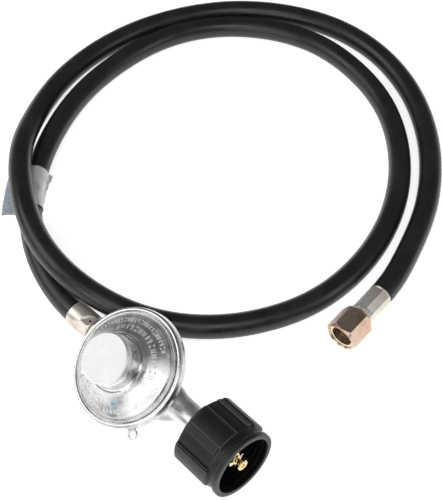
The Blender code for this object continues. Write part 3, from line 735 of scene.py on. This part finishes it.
def bonnet_cover():
    """The cast cover: flange, groove, hollow cone and tower, with raised marks on the cone.

    The tower has a material of its own; the flange takes the rim's darker zinc, which is painted
    shade."""
    cone = [(r, cone_height(r)) for r in np.linspace(18.2, 28.2, 14)]
    bm = lathe(rounded([
        (12.3, 38.4), (14.5, 38.4, 0.25), (14.75, 37.6, 0.6), (15.5, 31.6, 1.0), (16.0, 30.7, 0.3),
        (16.75, 30.5, 0.3), (17.2, 29.5, 0.5), (17.7, 29.05, 0.3), *cone,
        (29.0, 22.75, 0.5), (29.45, 22.0, 0.4), (29.7, 20.95, 0.3), (30.25, 20.75, 0.2),
        (30.6, 21.15, 0.25), (31.2, 21.05, 0.25), (31.5, 20.4, 0.2), (31.55, 19.2),
        (32.3, 19.2), (32.3, 18.2), (29.4, 18.2), (28.2, 20.2), (16.0, 26.6), (12.3, 28.4),
    ]), 192)
    # Tower faces take the tower zinc; flange faces take the darker rim zinc copy, painted shade
    for face in bm.faces:
        middle = face.calc_center_median()
        out = math.hypot(middle.x, middle.y)
        face.material_index = 1 if middle.z > 30.55 and out < 16.4 else 2 if out > 28.9 else 0
    bonnet = new_object("bonnet_cover", bm, REG, zinc, "root", ["bonnet"])
    bonnet.data.materials.append(tower_zinc)
    bonnet.data.materials.append(shaded_rim_zinc)
    at = Vector((VENT_OUT * math.cos(VENT_TURN), VENT_OUT * math.sin(VENT_TURN), 0.0)) * MM
    drill = cutter("vent_drill", VENT_R, 17.0, 33.0, REG @ Matrix.Translation(at))
    cut(bonnet, "DIFFERENCE", drill)
    bake(bonnet)
    bpy.data.objects.remove(drill)
    shade(bonnet)
    ink_mark(zinc, REG @ on_cone(INK_OUT, INK_TURN), INK_SIZE)
    marks = bmesh.new()
    raised_marks(marks, 26.0, 2.5, 0.6, 50.0, 164.0, 24)
    raised_marks(marks, 21.4, 2.9, 0.8, 12.0, 140.0, 16)
    raised_marks(marks, 26.0, 2.4, 0.6, 222.0, 322.0, 19)
    raised_marks(marks, 21.6, 2.4, 0.7, 232.0, 292.0, 9)
    raised_marks(marks, 26.0, 2.2, 0.55, -30.0, 8.0, 8)
    relief = new_object("bonnet_relief", marks, REG, relief_zinc, "root", ["bonnet"])
    shade(relief, 30.0, False)


def raised_marks(bm, middle, tall, thick, from_deg, to_deg, count):
    """Raised bars in an arc on the cone: upright, crossed and paired, none of them letters."""
    for i in range(count):
        a = math.radians(from_deg + (to_deg - from_deg) * (i + 0.5) / count)
        kind = i * 7 % 5
        pitch = math.radians(abs(to_deg - from_deg) / count) * middle
        if kind in (0, 3):
            bars = [(-0.22 * pitch, 0.0, tall, thick), (0.22 * pitch, 0.0, tall, thick)]
        elif kind == 1:
            bars = [(0.0, 0.0, tall, thick * 1.2)]
        elif kind == 2:
            bars = [(0.0, out * tall * 0.38, thick, 0.62 * pitch) for out in (1, -1)]
        else:
            bars = [(0.0, 0.0, tall, thick), (0.2 * pitch, tall * 0.35, thick, 0.4 * pitch)]
        for across, out, length, width in bars:
            bar(bm, middle + out, a + across / middle, length, width)


def bar(bm, r, a, length, width):
    """A small block with a smaller top, standing on the cone at radius r and angle a."""
    corners = []
    for lift, shrink in ((-0.25, 1.0), (0.38, 0.8)):
        for side, end in ((-1, -1), (1, -1), (1, 1), (-1, 1)):
            out = r + end * length / 2 * shrink
            turn = a + side * width / 2 * shrink / r
            corners.append(bm.verts.new((out * math.cos(turn), out * math.sin(turn),
                                         cone_height(out) + lift)))
    low, high = corners[:4], corners[4:]
    bm.faces.new(low)
    bm.faces.new(high)
    for i in range(4):
        j = (i + 1) % 4
        bm.faces.new((low[i], low[j], high[j], high[i]))


def tower_cap():
    """The pressed cap over the tower, with its skirt."""
    cap = new_object("tower_cap", lathe(rounded([
        (0.0, 43.6), (13.6, 43.6, 0.7), (14.6, 42.8, 0.6), (14.6, 38.75, 0.25), (12.0, 38.7),
        (12.0, 36.2), (10.0, 36.2), (10.0, 40.8), (0.0, 40.8),
    ], closed=False), 128, closed=False), REG, cap_metal, "root", ["bonnet_cap"])
    shade(cap)


bowl_casting()
rim_and_eyelet()
bonnet_cover()
tower_cap()

# ---------------------------------------------------------------- tank nut and nipple

NUT_R = 20.3
NUT_BACK, NUT_MOUTH = 51.4, 83.7
NUT_STEPS = 480
PITCH = 72.0  # degrees from one of the five lands to the next
# Height, from and to in degrees, width of its side walls, and where it ends along x
LAND_SHAPES = (
    (1.6, 5.0, 36.4, 0.9, 76.5), (1.5, 38.2, 39.9, 0.6, 76.3), (0.9, -8.0, 5.2, 0.9, 75.0),
    (0.15, 36.0, 41.6, 1.0, 76.2),
)
SOCKET_R, THREAD_PITCH = 17.4, 3.2


def nut_radius(x, a):
    """Outer radius of the nut at x and at angle a, counted from the bonnet side towards +y."""
    if x < NUT_BACK + 0.9:
        base = NUT_R - 1.1 * (1 - math.sqrt(max(0.0, 1 - ((NUT_BACK + 0.9 - x) / 0.9) ** 2)))
    else:
        base = NUT_R - 0.5 * ease((x - 75.6) / 1.6)
    base += 1.0 * ease((x - 80.0) / 0.9)
    base -= 0.7 * (1 - math.sqrt(max(0.0, 1 - (max(0.0, x - 83.0) / 0.7) ** 2)))
    a = (a + 20.0) % PITCH - 20.0
    behind = ease((x - NUT_BACK) / 0.8)
    return base + max(height * band(a, low, high, soft) * ease((end - x) / 0.5 + 0.5) * behind
                      for height, low, high, soft, end in LAND_SHAPES)


def ring(x, radius_at, steps):
    """A row of points round the x axis; radius_at gives the radius at an angle in degrees."""
    angles = [360.0 * i / steps for i in range(steps)]
    return [nut_point(x, radius_at(a), a) for a in angles]


def tank_nut():
    """The moulded nut: five lands with a shelf beside each, a flared rim, a threaded socket in
    painted shade.
    """
    outer = [NUT_BACK + 0.9 * (1 - math.cos(math.pi / 2 * k / 5)) for k in range(6)]
    outer += list(np.arange(53.0, 74.2, 2.0))
    outer += list(np.arange(74.4, 77.6, 0.16)) + [78.0, 79.0, 79.7]
    outer += list(np.arange(79.9, 81.2, 0.16)) + [81.8, 82.6, 83.0]
    outer += [83.0 + 0.7 * math.sin(math.pi / 2 * k / 4) for k in range(1, 5)]
    rows = [ring(x, lambda a, x=x: nut_radius(x, a), NUT_STEPS) for x in outer]
    inner = [(19.4, NUT_MOUTH), (18.3, NUT_MOUTH), (17.9, 83.55), (17.6, 83.2)]
    x = 82.6
    while x > 62.0:
        inner += [(SOCKET_R, x), (SOCKET_R, x - 1.1), (SOCKET_R + 0.25, x - 1.4),
                  (SOCKET_R + 0.25, x - 2.2), (SOCKET_R, x - 2.5)]
        x -= THREAD_PITCH
    inner += [(SOCKET_R, 60.0), (15.9, 58.0), (15.9, 55.6), (6.9, 55.6), (6.9, 52.2), (7.3, 51.6),
              (8.2, NUT_BACK), (18.2, NUT_BACK)]
    rows += [ring(x, lambda a, r=r: r, NUT_STEPS) for r, x in inner]
    bm = skin(rows + rows[:1])
    bmesh.ops.remove_doubles(bm, verts=bm.verts, dist=SAME_MM)
    # Faces of the socket's inner wall take the near-black nylon copy: painted shade
    for face in bm.faces:
        middle = face.calc_center_median()
        face.material_index = int(55.0 < middle.x < 83.4 and math.hypot(middle.y, middle.z) < 18.2)
    nut = new_object("tank_nut_shell", bm, REG, nylon, "tank_nut", ["qcc_nut"])
    nut.data.materials.append(socket_shade)
    shade(nut, 50.0)


def nut_point(x, r, a):
    """The point at radius r round the x axis, at an angle counted from z towards y."""
    a = math.radians(a)
    return (x, r * math.sin(a), r * math.cos(a))


def nipple_parts():
    """The brass nipple with its sealing nose, the limiter's lobed cage and its drilled tip."""
    nipple = new_object("brass_nipple", turned_x(lathe(rounded([
        (3.7, 76.0, 0.2), (4.3, 75.7, 0.3), (4.6, 74.6, 0.3), (4.6, 71.2, 0.2), (3.9, 71.2),
        (3.9, 69.2), (5.6, 69.2, 0.2), (6.0, 68.6, 0.3), (6.0, 65.2, 0.4), (9.2, 63.9, 0.4),
        (9.2, 60.8, 0.3), (6.2, 60.5), (6.2, 51.5, 0.3), (5.3, 50.8), (5.3, 38.3), (2.0, 38.3),
        (2.0, 64.8), (3.7, 65.2),
    ], 3), 64)), REG, brass, "root", ["inlet_nipple"])
    shade(nipple)
    lobed = []
    for x, core, lobe in ((74.5, 3.3, 0.0), (76.1, 3.4, 0.0), (76.4, 3.2, 1.6), (76.7, 3.25, 1.95),
                          (78.0, 3.2, 1.95), (78.3, 3.0, 1.6), (78.5, 2.7, 0.4), (78.7, 2.5, 0.0),
                          (78.6, 1.7, 0.0), (74.5, 1.7, 0.0)):
        lobed.append(ring(x, lambda a, core=core, lobe=lobe: core + lobe * ease(
            0.5 + 1.3 * math.cos(math.radians(4 * (a - 35.0)))), 128))
    bm = skin(lobed + lobed[:1])
    bmesh.ops.remove_doubles(bm, verts=bm.verts, dist=SAME_MM)
    cage = new_object("limiter_cage", bm, REG, brass, "root", ["flow_limiter_cage"])
    shade(cage)
    tip = new_object("limiter_tip", turned_x(lathe(rounded([
        (0.0, 81.4), (1.15, 81.5, 0.15), (1.3, 82.9, 0.15), (1.6, 83.2, 0.15), (3.0, 83.2, 0.3),
        (3.4, 82.6, 0.3), (3.3, 81.9, 0.2), (2.4, 81.3, 0.3), (1.3, 80.7, 0.4), (1.3, 73.8, 0.1),
        (3.2, 73.5, 0.15), (3.2, 72.5, 0.1), (1.2, 72.5), (1.2, 66.8, 0.2), (0.0, 66.8),
    ], 3, closed=False), 64, closed=False)), REG, brass, "limiter_poppet",
        ["flow_limiter_poppet"])
    shade(tip)


tank_nut()
nipple_parts()

# ---------------------------------------------------------------- ferrules and swivel nut

FERRULE_STEPS = 240
LIP_ROUND = 0.35
BARB_R = 4.65
CORNER_R = 9.525 / math.cos(math.radians(30.0))  # of the hexagon, 19.05 mm across its flats


def ferrule(name, low, high, radius, flats, place, node, run_in, tilt=0.0, hole=None):
    """A crimped sleeve whose pressed flats run in with arched ends between its plain lips.

    flats is (from, to, how many, middle of one in degrees, radius to the flat); run_in is how
    long they take to sink in, tilt skews their start round the sleeve, and hole is the
    inspection hole's place and angle."""
    flats_from, flats_to, sides, middle, flat_r = flats
    xs = [low, low + 0.12, low + 0.35, low + 0.7]
    xs += list(np.arange(low + 1.0, high - 0.8, 0.25))
    xs += [high - 0.7, high - 0.35, high - 0.12, high]

    def outside(x, a):
        edge = min(x - low, high - x)
        lip = max(0.0, 1 - edge / LIP_ROUND)
        rounding = LIP_ROUND * (1 - math.sqrt(max(0.0, 1 - lip ** 2)))
        off = (a - middle + 180.0 / sides) % (360.0 / sides) - 180.0 / sides
        start = flats_from + tilt * math.sin(math.radians(a))
        pressed = ease((x - start) / run_in) * ease((flats_to - x) / 2.2)
        flat = (radius - (radius - flat_r) * pressed) / math.cos(math.radians(off))
        return min(radius, flat) - rounding

    rows = [ring(x, lambda a, x=x: outside(x, a), FERRULE_STEPS) for x in xs]
    bore = radius - 1.0
    inside = ((high, BARB_R), (high - 1.0, BARB_R), (high - 1.0, bore - 0.3),
              (low + 0.3, bore - 0.3), (low, bore))
    rows += [ring(x, lambda a, r=r: r, FERRULE_STEPS) for x, r in inside]
    bm = skin(rows + rows[:1])
    bmesh.ops.remove_doubles(bm, verts=bm.verts, dist=SAME_MM)
    obj = new_object(name, bm, place, ferrule_steel, "root", [node])
    if hole:
        towards = Matrix.Rotation(math.radians(-hole[1]), 4, "X")
        drill = cutter("inspection_drill", 0.8, 3.0, 9.5,
                       place @ Matrix.Translation((hole[0] * MM, 0.0, 0.0)) @ towards)
        cut(obj, "DIFFERENCE", drill)
        bake(obj)
        bpy.data.objects.remove(drill)
    shade(obj, 45.0)
    return obj


def swivel_nut():
    """A hexagon nut with chamfered corners, and its thread as a ring of its own with painted shade
    in its roots.
    """
    bm = turned_x(lathe(rounded([
        (8.55, 0.0, 0.1), (8.95, 0.0, 0.25), (CORNER_R + 0.3, -2.0), (CORNER_R + 0.3, -16.4),
        (8.4, -19.5, 0.3), (4.95, -19.5, 0.15), (4.95, -14.5), (7.1, -13.6), (7.1, -11.7),
        (8.0, -11.5), (8.0, -0.8),
    ], 3), 144))
    nut = new_object("swivel_nut_hexagon", bm, SWIVEL, nut_steel, "swivel_nut", ["flare_nut"])
    prism = cutter("hexagon_prism", CORNER_R, -24.5, 5.5, SWIVEL @ ALONG_X, 6)
    cut(nut, "INTERSECT", prism)
    soften = nut.modifiers.new("Soften", "BEVEL")
    soften.width, soften.segments = 0.28 * MM, 3
    soften.limit_method, soften.angle_limit = "ANGLE", math.radians(24.0)
    bake(nut)
    bpy.data.objects.remove(prism)
    shade(nut, 35.0)
    rings, x = [(8.15, -11.4)], -11.2
    while x < -1.6:
        rings += [(7.85, x), (7.85, x + 0.5), (6.9, x + 0.75), (6.9, x + 1.1)]
        x += 1.41
    bm = turned_x(lathe([*rings, (7.85, x), (8.15, x)], 144))
    # Faces in the thread's roots take the near-black finish: painted shade
    for face in bm.faces:
        middle = face.calc_center_median()
        face.material_index = int(7.6 < math.hypot(middle.y, middle.z) < 7.95)
    thread = new_object("swivel_nut_thread", bm, SWIVEL, nut_steel, "swivel_nut", ["flare_nut"])
    thread.data.materials.append(thread_root_shade)
    shade(thread, 25.0)
    return nut, thread


ferrule("regulator_ferrule", *REG_FERRULE, 8.2, (-54.0, -43.4, 6, 26.0, 7.25), REG,
        "ferrule_regulator_end", 3.4, tilt=5.5, hole=(-46.2, 24.0))
flare_ferrule = ferrule("swivel_ferrule", *FLARE_FERRULE, 7.5, (-41.0, -21.4, 8, 32.5, 6.85),
                        SWIVEL, "ferrule_flare_end", 1.6)
hex_nut, hex_thread = swivel_nut()

stem = new_object("swivel_stem", turned_x(lathe(rounded([
    (2.3, -7.2, 0.2), (3.2, -7.2, 0.2), (6.5, -10.5, 0.3), (6.5, -13.2, 0.3), (4.5, -14.0),
    (4.5, -19.8), (7.9, -19.85, 0.3), (8.1, -20.9, 0.4), (4.2, -20.95), (4.2, -38.8), (2.3, -39.0),
], 3), 72)), SWIVEL, ferrule_steel, "root", ["flare_stem"])
shade(stem)

# ---------------------------------------------------------------- springs and diaphragm

FLANGE_R = 32.3
MAIN_SPRING = (0.75, 9.0, (20.4, 30.3), 5.0)  # wire and coil radius, ends and turns


def coil(name, place, along, wire, radius, ends, turns, shares, bodies, bend, node):
    """Part of a compression spring's coil, along its axis.

    ends are the whole spring's ends and shares the part of its length that this piece is. bend,
    the two places on the axis between which it was to turn from the first body to the second, is
    not used."""
    count = int(turns * (shares[1] - shares[0]) * 40)
    rows = []
    for i in range(count + 1):
        share = shares[0] + (shares[1] - shares[0]) * i / count
        a = TAU * turns * share
        z = ends[0] + (ends[1] - ends[0]) * (share - 0.09 * math.sin(TAU * share))
        rows.append([
            ((radius + wire * math.cos(TAU * k / 10)) * math.cos(a),
             (radius + wire * math.cos(TAU * k / 10)) * math.sin(a),
             z + wire * math.sin(TAU * k / 10))
            for k in range(10)
        ])
    bm = skin(rows)
    bmesh.ops.holes_fill(bm, edges=bm.edges)
    bmesh.ops.transform(bm, matrix=along, verts=bm.verts)
    obj = new_object(name, bm, place, steel, None, [node])
    shade(obj, 40.0, False)
    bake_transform(obj)


def diaphragm():
    """The diaphragm in two pieces: the disc between its plates, and the clamped, rolled ring.

    The ring's inner lip is as tall as the disc's travel, so the disc never leaves it."""
    disc = new_object("diaphragm_disc", lathe([
        (2.5, 16.9), (20.9, 16.9), (20.9, 17.9), (2.5, 17.9),
    ], 96), REG, nitrile, "diaphragm_centre", ["diaphragm"])
    shade(disc)
    outer = new_object("diaphragm_ring", lathe(rounded([
        (21.0, 16.9), (21.0, 19.4, 0.2), (21.6, 19.4, 0.3), (22.0, 19.0, 0.3), (24.0, 19.6, 0.8),
        (26.0, 19.0, 0.8), (27.4, 17.9, 0.3), (FLANGE_R, 17.9), (FLANGE_R, 16.9),
        (26.9, 16.9, 0.3), (25.4, 18.0, 0.8), (24.0, 18.5, 0.8), (22.6, 18.0, 0.8),
        (21.5, 16.9, 0.3),
    ]), 96), REG, nitrile, "root", ["diaphragm"])
    shade(outer)


coil("main_spring_lower", REG, UPRIGHT, *MAIN_SPRING, (0.0, 0.5),
     ("diaphragm_centre", "root"), (21.4, 25.35), "main_spring")
coil("main_spring_upper", REG, UPRIGHT, *MAIN_SPRING, (0.5, 1.0),
     ("root", "adjuster"), (25.35, 29.4), "main_spring")
coil("limiter_spring_coil", REG, ALONG_X, 0.32, 2.6, (65.9, 71.8), 4.0, (0.0, 1.0),
     ("root", "limiter_poppet"), (66.6, 71.2), "flow_limiter_spring")
diaphragm()

# ---------------------------------------------------------------- label

LABEL_FROM, LABEL_TO = 92.0, 129.5  # distance along the hose
LABEL_ROWS, FLAG_STEPS, WRAP_STEPS = 48, 12, 72
WRAP_FROM, WRAP_TURN = 207.0, 344.0  # degrees round the hose, from its right side
FOLD_AT, FOLD_HALF = 222.0, 9.0
FILM_THICK = 0.12


def film_material(name, stops):
    """Printed film: streaks and fine grey specks under a gloss, with small creases."""
    mat, tree, shader = node_material(name)
    coords = object_coords(tree)
    streak = noise(tree, coords, 260, 4, 0.7)
    speck = noise(tree, coords, 900, 2, 0.6)
    both = add(tree, "ShaderNodeMath", operation="MULTIPLY_ADD")
    link(tree, speck, both.inputs[0])
    both.inputs[1].default_value = 0.6
    link(tree, ranged(tree, streak, -0.05, 0.45), both.inputs[2])
    link(tree, ramp(tree, both.outputs["Value"], stops), shader.inputs["Base Color"])
    shader.inputs["Roughness"].default_value = 0.3
    shader.inputs["Coat Weight"].default_value = 0.4
    bump(tree, shader, streak, 0.25, 0.8)
    return mat


def label():
    """A film sleeve round the hose, slack and creased, whose loose end lies out as a flag."""
    sleeve_film = film_material("label_film", [
        (0.20, (0.30, 0.30, 0.29)), (0.36, (0.62, 0.62, 0.60)), (0.6, (0.80, 0.80, 0.78))])
    flag_film = film_material("label_flag_film", [
        (0.22, (0.30, 0.33, 0.38)), (0.42, (0.44, 0.48, 0.54)), (0.7, (0.56, 0.60, 0.66))])
    path, travelled = [], 0.0
    for a, b in zip(route, route[1:]):
        travelled += (b - a).length
        if LABEL_FROM <= travelled <= LABEL_TO:
            path.append(a)
    dense = []
    for i in range(LABEL_ROWS + 1):
        t = i / LABEL_ROWS * (len(path) - 1)
        k = min(int(t), len(path) - 2)
        dense.append(path[k].lerp(path[k + 1], t - k))
    rows = []
    for i, point in enumerate(dense):
        along = i / LABEL_ROWS
        ahead = (dense[min(i + 1, LABEL_ROWS)] - dense[max(i - 1, 0)]).normalized()
        right = ahead.cross(Vector((0.0, 0.0, 1.0))).normalized()
        up = right.cross(ahead)
        row = []
        for k in range(FLAG_STEPS + 1):
            reach = 1 - k / FLAG_STEPS
            lift = -4.9 + 1.2 * math.sin(reach * 3.0 + along) * reach + 0.25 * math.sin(9 * along)
            row.append(point + right * (-6.6 - 13.2 * reach) + up * lift)
        fold = 0.4 + 3.6 * along ** 1.6 + 0.3 * math.sin(31 * along)
        for k in range(1, WRAP_STEPS + 1):
            turned = WRAP_TURN * k / WRAP_STEPS
            a = math.radians(WRAP_FROM - turned)
            crease = 0.10 * math.sin(5 * a + 9 * along) + 0.07 * math.sin(23 * along + 2 * a)
            r = HOSE_D / 2 + 0.36 + crease * ease((k - 2) / 6)
            r += fold * max(0.0, 1 - abs(turned - FOLD_AT) / FOLD_HALF)
            row.append(point + right * (r * math.cos(a)) + up * (r * math.sin(a)))
        rows.append(row)
    bm = skin(rows, close_around=False)
    bm.faces.ensure_lookup_table()
    across = len(rows[0]) - 1
    for i, face in enumerate(bm.faces):
        face.material_index = int(i % across < FLAG_STEPS)
    film = new_object("label_sleeve", bm, TABLE, sleeve_film, "root", ["hose_label"])
    film.data.materials.append(flag_film)
    solid = film.modifiers.new("Film", "SOLIDIFY")
    solid.thickness, solid.offset = FILM_THICK * MM, 0.0
    shade(film, 60.0, False)
    return film


sleeve = label()

# ---------------------------------------------------------------- inner pieces keep their shape

FINISHES = {
    "adjusting_screw": bushing, "thermal_bushing": bushing, "diaphragm_plate": stamped,
    "diaphragm_post": brass, "diaphragm_washer": stamped, "lever_pin": steel,
    "hose_stem_regulator_end": brass, "inlet_nozzle": brass, "lever": stamped,
    "nipple_o_ring": nitrile, "valve_seat": nitrile, "valve_slide": brass, "vent_screen": stamped,
}
for name, finish in FINISHES.items():
    node = frame["nodes"][name]
    node.data.materials.clear()
    node.data.materials.append(finish)
    node.data.shade_smooth()
    node.data.set_sharp_from_angle(angle=math.radians(40.0))
